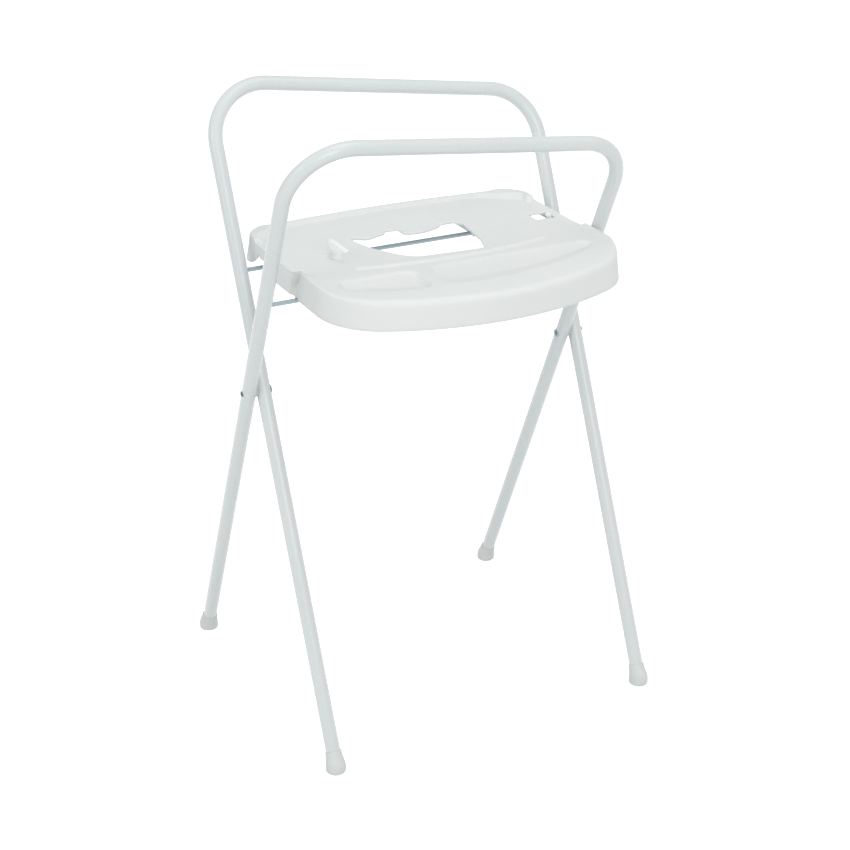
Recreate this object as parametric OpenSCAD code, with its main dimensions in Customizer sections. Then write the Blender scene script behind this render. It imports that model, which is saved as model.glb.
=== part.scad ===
// Folding baby bath stand: two bent steel tube frames cross at a pair of rivets,
// a rod ties the legs of each frame, and a moulded tray sits on the two rods.
// Millimetres. X runs along the rods, +Y is the rear, +Z is up.
// The origin lies on the floor, under the middle of the whole stand.

/* [Frames] */
// Outside diameter of the steel tube
tube_d = 22; // [19:0.5:26]
// Wall thickness of the steel tube
tube_wall = 1.2; // [0.8:0.1:2]
// Distance between the centre lines of one frame's two legs
frame_w = 576; // [540:1:640]
// Height of the pivots above the floor
pivot_h = 568; // [520:1:620]
// Angle between the two crossed frames when the stand is open
open_angle = 49; // [44:0.5:54]
// Length of a left leg from the pivot to the handle's centre line
arm_left = 495.6; // [480:0.1:520]
// Bend radius of the tube's centre line
bend_r = 90; // [60:1:110]
// Free gap between the two tubes where they cross
cross_gap = 3; // [2:0.5:6]

/* [Rods and rivets] */
// Diameter of the two cross rods
rod_d = 6; // [5:0.5:8]
// Distance from a pivot up the leg to the rod
rod_up = 192; // [180:1:205]
// Diameter of the pivot rivets
rivet_d = 6; // [5:0.5:8]
// Diameter of a rivet's domed head
head_d = 11; // [9:0.5:14]
// Height of a rivet's domed head
head_h = 3; // [2:0.5:4]
// Thickness of the washer under a rivet's inner head
washer_t = 1; // [0.6:0.1:2]
// Diameter of the spacer disc between the crossed tubes
spacer_d = 16; // [12:0.5:20]
// Radial play of a shaft that turns in a hole
play = 0.05; // [0.02:0.01:0.09]

/* [Feet] */
// Wall of the rubber sleeve round the tube
sleeve_wall = 2.4; // [1.5:0.1:4]
// Height of the sleeve along the leg
sleeve_l = 40; // [30:1:50]
// Diameter of the foot's round pad
pad_d = 32; // [29:1:40]
// Height of the foot's round pad
pad_h = 20; // [14:1:26]
// Rubber left under the tube's end
sole_t = 5; // [3:0.5:8]

/* [Tray] */
// Gap between the tray and the left legs
gap_left = 17; // [10:0.5:30]
// Gap between the tray and the right leg of the inner frame
gap_right = 4; // [1:0.5:12]
// Distance from the pivot plane to the tray's front edge
tray_front = 296; // [270:1:310]
// Distance from the pivot plane to the tray's rear edge
tray_rear = 162; // [145:1:166]
// Height of the tray's top face above the rods' centre
plate_up = 38; // [32:0.5:44]
// Rise of the front land above the top face
land_rise = 8; // [4:0.5:12]
// Rise of the rear lip above the top face
lip_rise = 7; // [3:0.5:10]
// Height of the skirt's lower edge above the rods' centre
skirt_up = 0.8; // [0:0.1:4]
// Wall thickness of the moulding
wall = 2.6; // [2:0.1:3.5]
// Radius of the bowed front edge
front_r = 480; // [420:5:700]
// Radius of the two front corners
front_corner_r = 95; // [70:1:110]
// Radius of the bowed rear edge
rear_r = 1900; // [1200:10:3000]
// Radius of the two rear corners
rear_corner_r = 44; // [38:1:60]
// Radius that rounds the top of the front skirt
front_round = 15; // [8:0.5:20]
// Radius that rounds the rear lip
lip_round = 5; // [3:0.5:7]
// Width of the rear lip
lip_w = 13; // [10:0.5:20]
// Distance behind the pivot plane where the ramp up to the front land starts
ramp_start = -58; // [-66:1:-50]
// Length of the ramp, front to back
ramp_l = 26; // [18:1:34]

/* [Tray features] */
// Depth of the two soap recesses
dish_depth = 11; // [6:0.5:16]
// Radius of the soap recesses' curved floors, front to back
dish_floor_r = 140; // [120:5:200]
// Distance from the front edge to the right soap recess
dish_inset = 62; // [54:1:66]
// Distance from the front edge to the left soap recess
dish_inset_left = 51; // [46:1:62]
// Distance from the pivot plane to the rear edge of the soap recesses
dish_rear = 146; // [136:1:156]
// Width of the bridge between the soap recesses
bridge_w = 24; // [20:1:50]
// Sideways place of the bridge from the tray's middle
bridge_x = -79; // [-100:1:-60]
// Distance from the tray's side to each soap recess
dish_side = 38; // [30:1:50]
// Length of the raised bead behind the soap recesses
bead_l = 328; // [280:1:360]
// Sideways place of the bead from the tray's middle
bead_x = -6; // [-12:1:12]
// Height of the raised bead
bead_h = 4; // [2:0.5:7]
// Width of the raised bead
bead_w = 11; // [8:0.5:16]
// Distance from the pivot plane to the raised bead
bead_y = 111; // [104:1:118]
// Sideways place of the drain opening from the tray's middle
opening_x = 3; // [-4:1:8]
// Depth of the rim round the drain opening
rim_depth = 6; // [4:0.5:10]
// Depth of the side grooves beside the legs
groove_depth = 5; // [2:0.5:7]
// Radius of the side grooves
groove_r = 26; // [18:1:34]
// Number of bearing ribs on each side of the tray
ribs_per_side = 2; // [1:1:2]
// Distance from the tray's side to the outer bearing ribs
rib_side = 63; // [54:1:70]
// Spacing of the bearing ribs on each side
rib_step = 60; // [46:1:62]
// Thickness of a bearing rib
rib_t = 3; // [2:0.5:5]
// Length of a bearing along the rod
bearing_l = 16; // [10:1:24]
// Wall of a bearing round the rod
bearing_wall = 4; // [3:0.5:5]

/* [Bath hook and latch] */
// Thickness of the hook's blade
hook_t = 6; // [4:0.5:8]
// Height of the hook above the top face
hook_h = 27; // [20:1:34]
// Length of the hook's blade at its foot
hook_l = 36; // [28:1:44]
// Reach of the hook's nose beyond its foot
hook_reach = 26; // [16:1:30]
// Distance from the tray's left side to the hook
hook_side = 83.5; // [76:0.5:92]
// Distance in front of the pivot plane of the hook's rear edge
hook_y = 13; // [6:1:20]
// Width of the latch's window, side to side
window_w = 34; // [28:1:40]
// Length of the latch's window, front to back
window_l = 32; // [26:1:38]
// Distance from the tray's right side to the window's middle
window_side = 29; // [29:1:40]
// Distance behind the pivot plane of the window's middle
window_y = 5; // [-2:1:12]
// Width of the latch's tongue
tongue_w = 10; // [8:1:18]
// Thickness of the latch's tongue
tongue_t = 2.2; // [1.6:0.1:3]

/* [Hidden] */

$fn = 64;
eps = 0.01;
touch = 0.3;
tilt = open_angle / 2;
cross_x = (tube_d + cross_gap) / 2;
tube_r = tube_d / 2;
bore_r = tube_r - tube_wall;
leg_l = pivot_h / cos(tilt);
// The handles fall to the right. This sine and its cosine both end at the sixth figure.
bar_slope = asin(0.136486);
arm_right = arm_left - frame_w * tan(bar_slope);
rod_r = rod_d / 2;
rod_y = rod_up * sin(tilt);
rod_z = pivot_h + rod_up * cos(tilt);
floor_y = pivot_h * tan(tilt);
// Tubes stop where their cut end clears the floor by the sole.
tube_end = (sole_t + tube_r * sin(tilt)) / cos(tilt);
foot_y = floor_y - pad_h / 2 * tan(tilt);
// The pivots lie behind the origin, because the tray's front reaches past the feet.
pivot_y = (tray_front - foot_y - pad_d / 2) / 2;
sleeve_r = tube_r + sleeve_wall;
white = [0.86, 0.88, 0.88];
plastic = [0.90, 0.92, 0.92];
zinc = [0.62, 0.69, 0.72];
steel = [0.38, 0.43, 0.46];
rubber = [0.84, 0.85, 0.84];
grey = [0.55, 0.58, 0.60];

// Tray, seen from above, about the point midway between the rods.
leg_gap = frame_w - 2 * cross_x - tube_d;
tray_w = leg_gap - gap_left - gap_right;
tray_x = (gap_left - gap_right) / 2;
half_w = tray_w / 2;
front_a = asin((half_w - front_corner_r) / (front_r - front_corner_r));
front_c = front_r - tray_front;
front_side = front_c - (front_r - front_corner_r) * cos(front_a);
rear_a = asin((half_w - rear_corner_r) / (rear_r - rear_corner_r));
rear_c = tray_rear - rear_r;
rear_side = rear_c + (rear_r - rear_corner_r) * cos(rear_a);
land_up = plate_up + land_rise;
lip_up = plate_up + lip_rise;
ramp_end = ramp_start - ramp_l;
side_round = wall + 1.4;
bearing_r = rod_r + bearing_wall;
mouth_r = rod_r - 0.35;
// The side walls' notches at the rear rod: reach to the front, to the rear and up.
hook_gap = [12.5, 25, 15];
// Where the straight edge of a rear corner's pad meets the lip and the side.
pad_far = [146, tray_rear - 11];
pad_near = rear_side - 18;
groove_x = half_w + groove_r - groove_depth;
groove_y = (ramp_start + ramp_end) / 2;
barrel_r = 3.5;
pin_r = 1.5;
window_x = half_w - window_side;
hook_x = hook_side - half_w;
latch_x = window_x + window_w / 2 + barrel_r;
latch_up = plate_up - wall - barrel_r - 0.4;

// ---------------------------------------------------------------- frames

module ring() {
    difference() {
        circle(r = tube_r);
        circle(r = bore_r);
    }
}

module leg_tube(length) {
    rotate([90, 0, 0]) linear_extrude(length) ring();
}

// The part of a ring of tube that is above the X axis and on one side of a bar,
// which falls to the right by bar_slope. side is -1 for the left bend, +1 for the right.
module bend(side) {
    reach = bend_r + tube_d;
    intersection() {
        rotate([0, 0, side > 0 ? 180 : 0]) rotate_extrude() translate([bend_r, 0]) ring();
        translate([-reach, 0, -reach]) cube([2 * reach, reach, 2 * reach]);
        rotate([0, 0, -bar_slope]) translate([side > 0 ? 0 : -reach, -reach, -reach])
            cube([reach, 2 * reach, 2 * reach]);
    }
}

// A bent frame lies in the XY plane, its pivots on the X axis, its handle at +Y.
// Each run is placed in the frame of the bend before it, so that they meet exactly.
module bent_tube() {
    left_l = arm_left - bend_r * tan((90 + bar_slope) / 2);
    right_l = arm_right - bend_r * tan((90 - bar_slope) / 2);
    bar_l = norm([frame_w - 2 * bend_r, right_l - left_l]);
    foot = leg_l - tube_end;
    translate([bend_r - frame_w / 2, left_l, 0]) {
        translate([-bend_r, 0, 0]) leg_tube(left_l + foot);
        bend(-1);
        rotate([0, 0, -bar_slope]) {
            translate([0, bend_r, 0]) rotate([0, 90, 0]) linear_extrude(bar_l) ring();
            translate([bar_l, 0, 0]) rotate([0, 0, bar_slope]) {
                bend(1);
                translate([bend_r, 0, 0]) leg_tube(right_l + foot);
            }
        }
    }
}

module tube_frame() {
    difference() {
        bent_tube();
        translate([-frame_w / 2 - tube_d, 0, 0]) rotate([0, 90, 0])
            cylinder(r = rivet_d / 2 + play, h = frame_w + 2 * tube_d);
        translate([-frame_w / 2, rod_up, 0]) rotate([0, 90, 0])
            cylinder(r = rod_r, h = frame_w);
    }
}

// Stands a flat frame up at its tilt; side -1 leans its handle to the front.
module stand_up(side) {
    translate([side * cross_x, pivot_y, pivot_h])
        rotate([-side * tilt, 0, 0]) rotate([90, 0, 0]) children();
}

module rear_handle_frame() {
    color(white) stand_up(1) tube_frame();
}

module front_handle_frame() {
    color(white) stand_up(-1) tube_frame();
}

// A rod passes the inner walls of both legs and butts on their outer walls.
module cross_rod(side) {
    half_l = frame_w / 2 + sqrt(pow(bore_r, 2) - pow(rod_r, 2)) - eps;
    color(zinc) translate([side * cross_x - half_l, pivot_y + side * rod_y, rod_z])
        rotate([0, 90, 0]) cylinder(r = rod_r, h = 2 * half_l);
}

module rear_rod() {
    cross_rod(1);
}

module front_rod() {
    cross_rod(-1);
}

// ---------------------------------------------------------------- pivots

module dome(d, h) {
    ball_r = (h * h + d * d / 4) / (2 * h);
    intersection() {
        translate([0, 0, h - ball_r]) sphere(r = ball_r, $fn = 96);
        cylinder(d = d, h = h);
    }
}

// end is -1 at the left and +1 at the right; the shank points outwards.
module at_pivot(end) {
    translate([end * frame_w / 2, pivot_y, pivot_h]) rotate([0, end * 90, 0]) children();
}

module rivet(end) {
    outer = cross_x + tube_r;
    inner_head = head_h * 0.8;
    color(steel) at_pivot(end) {
        translate([0, 0, -outer - washer_t]) cylinder(d = rivet_d, h = 2 * outer + washer_t);
        translate([0, 0, outer]) dome(head_d, head_h);
        translate([0, 0, -outer - washer_t]) rotate([180, 0, 0])
            dome(head_d - 2, inner_head);
    }
}

module rivet_left() {
    rivet(-1);
}

module rivet_right() {
    rivet(1);
}

module washer(end) {
    outer = cross_x + tube_r;
    color(zinc) at_pivot(end) translate([0, 0, -outer - washer_t]) difference() {
        cylinder(d = head_d + 3, h = washer_t);
        translate([0, 0, -1]) cylinder(r = rivet_d / 2 + play, h = washer_t + 2);
    }
}

module washer_left() {
    washer(-1);
}

module washer_right() {
    washer(1);
}

// The spacer is saddled on the front handle's frame and flat on the other side.
module spacer(end) {
    reach = cross_x - cross_gap / 2;
    color(grey) difference() {
        at_pivot(end) {
            if (end < 0) translate([0, 0, -cross_gap / 2 + play])
                cylinder(d = spacer_d, h = reach);
            else translate([0, 0, cross_gap / 2 - play - reach])
                cylinder(d = spacer_d, h = reach);
        }
        stand_up(-1) translate([end * frame_w / 2, -spacer_d, 0]) rotate([-90, 0, 0])
            cylinder(r = tube_r, h = 2 * spacer_d);
        at_pivot(end) translate([0, 0, -tube_d])
            cylinder(r = rivet_d / 2 + play, h = 2 * tube_d);
    }
}

module spacer_left() {
    spacer(-1);
}

module spacer_right() {
    spacer(1);
}

// ---------------------------------------------------------------- feet

// side is the frame's lean as in stand_up; its feet are on the other side.
module foot(side, end) {
    pad_round = 5;
    color(rubber) intersection() {
        translate([side * cross_x + end * frame_w / 2, pivot_y, 0]) difference() {
            union() {
                translate([0, -side * foot_y, 0]) rotate_extrude() {
                    square([pad_d / 2 - pad_round, pad_h]);
                    translate([0, pad_round]) square([pad_d / 2, pad_h - 2 * pad_round]);
                    for (z = [pad_round, pad_h - pad_round])
                        translate([pad_d / 2 - pad_round, z]) circle(r = pad_round);
                }
                on_leg(side, 3) rotate_extrude() {
                    square([sleeve_r, sleeve_l - 1.2]);
                    square([sleeve_r - 1.2, sleeve_l]);
                    translate([sleeve_r - 1.2, sleeve_l - 1.2]) circle(r = 1.2);
                }
            }
            on_leg(side, tube_end) cylinder(r = tube_r, h = 3 * sleeve_l);
        }
        translate([-frame_w, -2 * floor_y, 0]) cube([2 * frame_w, 4 * floor_y, pivot_h]);
    }
}

// Places children on a leg's axis, a distance up it from the floor.
module on_leg(side, up) {
    translate([0, -side * floor_y, 0]) rotate([-side * tilt, 0, 0])
        translate([0, 0, up]) children();
}

module foot_front_left() {
    foot(1, -1);
}

module foot_front_right() {
    foot(1, 1);
}

module foot_rear_left() {
    foot(-1, -1);
}

module foot_rear_right() {
    foot(-1, 1);
}

// ---------------------------------------------------------------- tray

// Points of an arc about a centre, from one angle to another.
function arc(centre, r, from, to, n) =
    [for (i = [0:n]) centre + r * [cos(from + (to - from) * i / n), sin(from + (to - from) * i / n)]];

// The tray's plan, drawn in from its edge, anticlockwise from the right rear corner.
function plan(inset) = concat(
    arc([half_w - rear_corner_r, rear_side], rear_corner_r - inset, 0, 90 - rear_a, 8),
    arc([0, rear_c], rear_r - inset, 90 - rear_a * 0.8, 90 + rear_a * 0.8, 7),
    arc([rear_corner_r - half_w, rear_side], rear_corner_r - inset, 90 + rear_a, 180, 8),
    arc([front_corner_r - half_w, front_side], front_corner_r - inset, 180, 270 - front_a, 9),
    arc([0, front_c], front_r - inset, 270 - front_a * 0.85, 270 + front_a * 0.85, 11),
    arc([half_w - front_corner_r, front_side], front_corner_r - inset, 270 + front_a, 360, 9));

module outline(inset) {
    polygon(plan(inset));
}

// Rounds the corners of a path, given as [x, y, corner radius].
function softened(path) = [
    for (i = [0:len(path) - 1])
        let (p = [path[i][0], path[i][1]],
             a = path[(i + len(path) - 1) % len(path)], b = path[(i + 1) % len(path)],
             u = ([a[0], a[1]] - p) / norm([a[0], a[1]] - p),
             v = ([b[0], b[1]] - p) / norm([b[0], b[1]] - p),
             half = acos(max(-1, min(1, u * v))) / 2,
             reach = path[i][2] / tan(half),
             mid = (u + v) / norm(u + v) * path[i][2] / sin(half),
             from = u * reach - mid, to = v * reach - mid,
             n = max(1, round((180 - 2 * half) / 12)))
        for (k = [0:n]) let (q = from + (to - from) * k / n)
            p + mid + q / norm(q) * path[i][2]];

module both_sides() {
    children();
    mirror([1, 0, 0]) children();
}

// Draws a side view, given in (y, z), across the tray between two X places.
module across(from, to) {
    translate([from, 0, 0]) rotate([90, 0, 90]) linear_extrude(to - from) children();
}

module between(front, rear) {
    translate([-half_w, front]) square([tray_w, rear - front]);
}

// The plan between two distances behind the pivots, raised to a rounded top edge.
module raised(inset, base, top, round_r, front, rear, steps) {
    for (k = [0:steps]) {
        a = 90 * k / steps;
        translate([0, 0, base]) linear_extrude(top - base - round_r * (1 - sin(a)))
            intersection() {
                outline(inset + round_r * (1 - cos(a)));
                between(front, rear);
            }
    }
}

// The main body and the front land with its ramp, drawn in from the outer face.
module body(inset, base) {
    plate = plate_up - inset;
    hull() raised(inset, base, plate, side_round - inset, ramp_end, 2 * tray_rear, 2);
    hull() {
        raised(inset, base, land_up - inset, front_round - inset, -2 * tray_front, ramp_end, 4);
        raised(inset, base, plate, side_round - inset, ramp_end, ramp_start, 2);
    }
}

// The flat that the lip and the rear corners' pads rise above; edge draws it in or out.
module rear_flat(edge) {
    line = [half_w - lip_w, pad_near] - pad_far;
    out = edge * [-line[1], line[0]] / norm(line);
    intersection() {
        outline(lip_w - edge);
        polygon([[-half_w, ramp_start], [half_w, ramp_start],
                 [half_w, pad_near + out[1]], pad_far + out + [0, 0],
                 [0, 2 * tray_rear], [-pad_far[0] - out[0], pad_far[1] + out[1]],
                 [-half_w, pad_near + out[1]]]);
    }
}

module rear_lip() {
    difference() {
        hull() raised(0, skirt_up, lip_up, lip_round, pad_near, 2 * tray_rear, 3);
        translate([0, 0, plate_up]) linear_extrude(2 * lip_rise) rear_flat(0);
    }
}

// The hollow under the lip and the pads.
module lip_hollow() {
    translate([0, 0, plate_up - 2 * wall]) linear_extrude(lip_rise + wall) difference() {
        intersection() {
            outline(wall + 1);
            between(pad_near + wall, 2 * tray_rear);
        }
        rear_flat(wall);
    }
}

// A soap recess in plan: its front follows the tray's front edge.
module dish(side, grow) {
    inner = bridge_x + side * (bridge_w / 2 - grow);
    far = side * (half_w - dish_side + grow);
    front = front_r - (side > 0 ? dish_inset : dish_inset_left) + grow;
    bend = side > 0 ? [far * 0.84, far * 0.68, far * 0.5, far * 0.3, far * 0.08]
                    : [far * 0.86, far * 0.74, far * 0.62];
    ahead = [for (x = bend) [x, front_c - sqrt(front * front - x * x), 40 + grow]];
    polygon(softened(concat(
        [[inner, grow - dish_rear, 22 + grow], [far, grow - dish_rear, 16 + grow]],
        [[far, front_c - sqrt(front * front - far * far), 10 + grow]],
        ahead,
        [[inner, front_c - sqrt(front * front - inner * inner), 24 + grow]])));
}

// A soap recess, or with grow its bowl: the floor curves up to the front and to the rear.
module dish_space(side, grow, top) {
    low = land_up - dish_depth - grow;
    intersection() {
        translate([0, 0, low]) linear_extrude(top - low) dish(side, grow);
        translate([-half_w, -dish_rear - dish_inset_left, low + grow + dish_floor_r])
            rotate([0, 90, 0]) cylinder(r = dish_floor_r + grow, h = 2 * half_w, $fn = 180);
    }
}

// A bead with round ends, sunk in the land up to its width.
module bead() {
    r = (bead_h * bead_h + bead_w * bead_w / 4) / (2 * bead_h);
    intersection() {
        translate([bead_x, -bead_y, land_up + bead_h - r]) rotate([0, 90, 0]) rotate_extrude()
            intersection() {
                union() {
                    translate([-r, -bead_l / 2]) square([2 * r, bead_l]);
                    for (s = [-1, 1]) translate([0, s * bead_l / 2]) circle(r = r);
                }
                translate([0, -bead_l]) square([2 * r, 2 * bead_l]);
            }
        translate([-half_w, -tray_front, land_up - wall / 2]) cube([tray_w, tray_front, tray_w]);
    }
}

// The drain opening in plan, with its waved rear edge and keyhole notch.
module drain_opening() {
    translate([opening_x, 0]) polygon(softened([
        [-110, 38, 4], [-100, -10, 60], [-82, -66, 60], [-58, -95, 8], [56, -97, 12],
        [72, -58, 50], [82, -8, 60], [88, 32, 12], [78, 48, 5], [54, 47, 14], [16, 32, 50],
        [-17, 37, 3], [-20, 55, 4], [-42, 56, 4], [-48, 46, 5], [-84, 32, 12], [-103, 46, 4]]));
}

module at_rib() {
    for (i = [0:ribs_per_side - 1], s = [-1, 1])
        translate([s * (half_w - rib_side - i * rib_step), 0, 0]) children();
}

// Ribs under the tray carry the bearings: a snap bearing round the front rod and
// an open saddle over the rear rod, which lifts off as the tray folds.
module ribs() {
    intersection() {
        at_rib() across(-rib_t / 2, rib_t / 2)
            translate([-dish_rear + wall / 2, skirt_up])
                square([dish_rear + tray_rear, plate_up - wall / 2 - skirt_up]);
        translate([0, 0, -tube_d]) linear_extrude(3 * plate_up) outline(wall / 2);
    }
    at_rib() for (y = [-rod_y, rod_y]) translate([0, y, 0]) rotate([0, 90, 0])
        cylinder(r = bearing_r, h = bearing_l, center = true);
}

module rod_cuts() {
    reach = 2 * half_w;
    translate([-half_w - 1, -rod_y, 0]) rotate([0, 90, 0])
        cylinder(r = rod_r + play, h = reach + 2);
    translate([-half_w - 1, rod_y, 0]) rotate([0, 90, 0])
        cylinder(r = rod_r + touch, h = reach + 2);
    // The snap mouth under the front rod, and the flared mouth under the rear one.
    across(-half_w - 1, half_w + 1) {
        translate([-rod_y - mouth_r, -3 * rod_r]) square([2 * mouth_r, 3 * rod_r]);
        translate([rod_y, 0]) polygon([
            [-rod_r - touch, 0], [rod_r + touch, 0],
            [rod_r + bearing_wall, -3 * rod_r], [-rod_r - 3 * bearing_wall, -3 * rod_r]]);
    }
    both_sides() across(half_w - wall - 8, half_w + 1) {
        translate([-rod_y, 0]) circle(r = rod_r + 1);
        polygon(softened([
            [rod_y - hook_gap[0], -2 * rod_r, 0.5], [rod_y + hook_gap[1], -2 * rod_r, 0.5],
            [rod_y + hook_gap[1], hook_gap[2], 8], [rod_y - hook_gap[0], hook_gap[2], 8]]));
    }
}

module latch_ears() {
    ear_t = 3;
    for (s = [-1, 1]) translate([latch_x, window_y + s * (tongue_w / 2 + touch + ear_t / 2), 0])
        rotate([90, 0, 0]) linear_extrude(ear_t, center = true) {
            translate([0, latch_up]) circle(r = barrel_r);
            translate([-barrel_r, latch_up]) square([2 * barrel_r, plate_up - wall / 2 - latch_up]);
        }
}

module grooves(r) {
    both_sides() translate([groove_x, groove_y, -tube_d]) cylinder(r = r, h = 4 * plate_up);
}

module tray_shell() {
    difference() {
        union() {
            body(0, skirt_up);
            rear_lip();
            bead();
        }
        difference() {
            union() {
                body(wall, skirt_up - 1);
                lip_hollow();
            }
            grooves(groove_r + wall);
        }
    }
}

module tray_moulding() {
    difference() {
        union() {
            tray_shell();
            ribs();
            latch_ears();
            // Collar under the drain opening.
            translate([0, 0, plate_up - rim_depth]) linear_extrude(rim_depth - wall / 2)
                translate([opening_x, 0]) polygon(softened([
                    [-120, ramp_start - 40, 10], [100, ramp_start - 40, 10],
                    [100, 68, 16], [-120, 68, 16]]));
            for (side = [-1, 1]) dish_space(side, wall, land_up - wall / 2);
        }
        for (side = [-1, 1]) dish_space(side, 0, land_up + dish_depth);
        translate([0, 0, skirt_up]) linear_extrude(2 * plate_up) drain_opening();
        grooves(groove_r);
        translate([window_x - window_w / 2, window_y - window_l / 2, plate_up - 2 * wall])
            cube([window_w, window_l, plate_up]);
        translate([hook_x, -hook_y - hook_l, plate_up - 2 * wall])
            cube([hook_t, hook_l, 4 * wall]);
        translate([latch_x, window_y, latch_up]) rotate([90, 0, 0])
            cylinder(r = pin_r, h = 2 * tongue_w, center = true);
        rod_cuts();
    }
}

module on_rods() {
    translate([tray_x, pivot_y, rod_z]) children();
}

module tray() {
    color(plastic) on_rods() tray_moulding();
}

// A blade with a forward nose; its foot plugs into a slot in the tray.
module bath_hook() {
    nose = hook_l + hook_reach;
    color("white") on_rods() translate([0, -hook_y, plate_up]) across(hook_x, hook_x + hook_t) {
        polygon([[0, -2 * wall], [0, hook_h - 2], [-2, hook_h], [-nose + 1, hook_h],
                 [-nose, hook_h - 3], [-hook_l - 12, hook_h - 9], [-hook_l - 3, hook_h - 17],
                 [-hook_l, wall], [-hook_l, -2 * wall]]);
    }
}

// The latch's tongue turns on a pin under the tray and stands up in its window.
module bath_latch() {
    post_x = window_w / 2 - (latch_x - window_x) - 2 - tongue_t;
    color("white") on_rods() translate([latch_x, window_y, latch_up]) rotate([90, 0, 0])
        linear_extrude(tongue_w, center = true) difference() {
            union() {
                circle(r = barrel_r);
                translate([post_x, -tongue_t / 2]) square([-post_x, tongue_t]);
                polygon([[post_x, -tongue_t / 2], [post_x + tongue_t, -tongue_t / 2],
                         [post_x + tongue_t, plate_up - latch_up + 3],
                         [post_x - 1.5, plate_up - latch_up + 3],
                         [post_x - 4, plate_up - latch_up - 0.5], [post_x, plate_up - latch_up - 1.5]]);
            }
            circle(r = pin_r + play);
        }
}

module latch_pin() {
    color(zinc) on_rods() translate([latch_x, window_y, latch_up]) rotate([90, 0, 0])
        cylinder(r = pin_r, h = tongue_w + 2 * (touch + 3), center = true);
}

rear_handle_frame();
front_handle_frame();
rear_rod();
front_rod();
foot_front_left();
foot_front_right();
foot_rear_left();
foot_rear_right();
rivet_left();
rivet_right();
washer_left();
washer_right();
spacer_left();
spacer_right();
tray();
bath_hook();
bath_latch();
latch_pin();
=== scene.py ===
import math
import bpy
import bmesh
import numpy as np
from mathutils import Matrix, Vector
from mathutils.geometry import delaunay_2d_cdt


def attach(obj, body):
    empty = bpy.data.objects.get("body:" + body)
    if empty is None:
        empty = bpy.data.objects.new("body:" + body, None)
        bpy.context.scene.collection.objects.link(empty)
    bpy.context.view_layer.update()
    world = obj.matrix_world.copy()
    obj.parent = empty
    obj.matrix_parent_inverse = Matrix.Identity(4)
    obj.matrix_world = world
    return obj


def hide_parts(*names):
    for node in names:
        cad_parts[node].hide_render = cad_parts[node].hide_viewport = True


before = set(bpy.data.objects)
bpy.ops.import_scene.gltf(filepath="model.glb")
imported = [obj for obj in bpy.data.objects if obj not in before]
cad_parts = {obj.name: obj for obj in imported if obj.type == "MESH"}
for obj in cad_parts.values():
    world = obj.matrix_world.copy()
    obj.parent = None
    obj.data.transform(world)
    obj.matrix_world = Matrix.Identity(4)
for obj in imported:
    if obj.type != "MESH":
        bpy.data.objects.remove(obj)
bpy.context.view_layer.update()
scene = bpy.context.scene
scene.view_settings.view_transform = "Standard"
MM = 0.001

# ---------------------------------------------------------------- sizes, in mm
# Frames and rods. Both frames lean by TILT and cross at the height PIVOT_H. The tubes and rods
# are a little wider here than in the CAD, as the photograph shows them.
TUBE_R, ROD_R = 11.8, 3.5
FRAME_W = 576.0  # between a frame's legs, centre to centre
PIVOT_Y, PIVOT_H = 12.8524, 568.0
TILT = math.radians(24.5)
CROSS_X = 12.5  # a frame's step to the side, so that the legs pass each other
BEND_R = 90.0
ARM_LEFT = 495.6  # from the pivot to the handle's left corner, before its bend
SLOPE = math.asin(0.136486)  # the handles' fall to the right
LEG_L = PIVOT_H / math.cos(TILT)
TUBE_END = 10.5077  # from the floor to a tube's end, along the leg
END_ROUND = 0.6  # chamfer of a tube's ends
LEG_STEPS, BEND_STEPS, BAR_STEPS, ROUND_STEPS = 40, 30, 24, 40  # rings on each run, and points
FLOOR_Y = PIVOT_H * math.tan(TILT)  # from the pivot to where a leg's line meets the floor
FOOT_Y = 254.295  # from the pivot to a foot's pad
ROD_Y, ROD_Z = 79.6211, 742.713  # a rod's distance from the pivot, and its height
ROD_REACH = 9.2  # how far a rod goes past the middle of a leg
RIVET_SEAT = 11.0  # from the middle of a tube to a rivet's head
RIVET_HEAD, RIVET_INNER, RIVET_SHANK = 4.8, 4.3, 3

# The tray's plan: x to the right, y to the rear, about the point midway between the rods,
# and z up from the middle of the rods.
TRAY_X = 6.5
HALF_W = 254.0
TRAY_FRONT, TRAY_REAR = 296.0, 162.0
FRONT_R, FRONT_CORNER = 472.0, 105.0
REAR_R, REAR_CORNER = 1900.0, 44.0
FRONT_C = FRONT_R - TRAY_FRONT
FRONT_A = math.asin((HALF_W - FRONT_CORNER) / (FRONT_R - FRONT_CORNER))
FRONT_SIDE = FRONT_C - (FRONT_R - FRONT_CORNER) * math.cos(FRONT_A)
REAR_C = TRAY_REAR - REAR_R
REAR_A = math.asin((HALF_W - REAR_CORNER) / (REAR_R - REAR_CORNER))
REAR_SIDE = REAR_C + (REAR_R - REAR_CORNER) * math.cos(REAR_A)
SAME, TINY = 0.05, 1e-6  # points nearer than SAME are one
RIM_CLEAR, RING_CLEAR = 1.2, 0.8  # no point of the plate's grid is nearer to its loops

# The tray's heights. A START is the y where a slope begins, and its L is how long it is.
WALL, COLLAR_T = 2.6, 4.2
PLATE, LAND, LIP, LIP_CORNER = 38.0, 8.0, 7.0, 3
RAMP_START, RAMP_L = 20, 150
LIP_W, LIP_SOFT = 13.0, 5
PAD_X, PAD_Y, PAD_SPAN, PAD_SOFT = 146, 151, 95, 14  # the lip's wide rear corners
PAD_NEAR = REAR_SIDE - 18
RIM, RIM_FRONT = 4.0, 8.3  # how far the sides stand above the plate, and more beside the land
RIM_START, RIM_L = -71, 18
BEAD_X, BEAD_Y, BEAD_HALF, BEAD_BOW = 3, -110.5, 162, 18
BEAD_H, BEAD_R = 4, 7.5
CHUTE_X, CHUTE_HALF, CHUTE_DEPTH = 21, 38, 3.2
POCKET_DEPTH = 2.4

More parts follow.
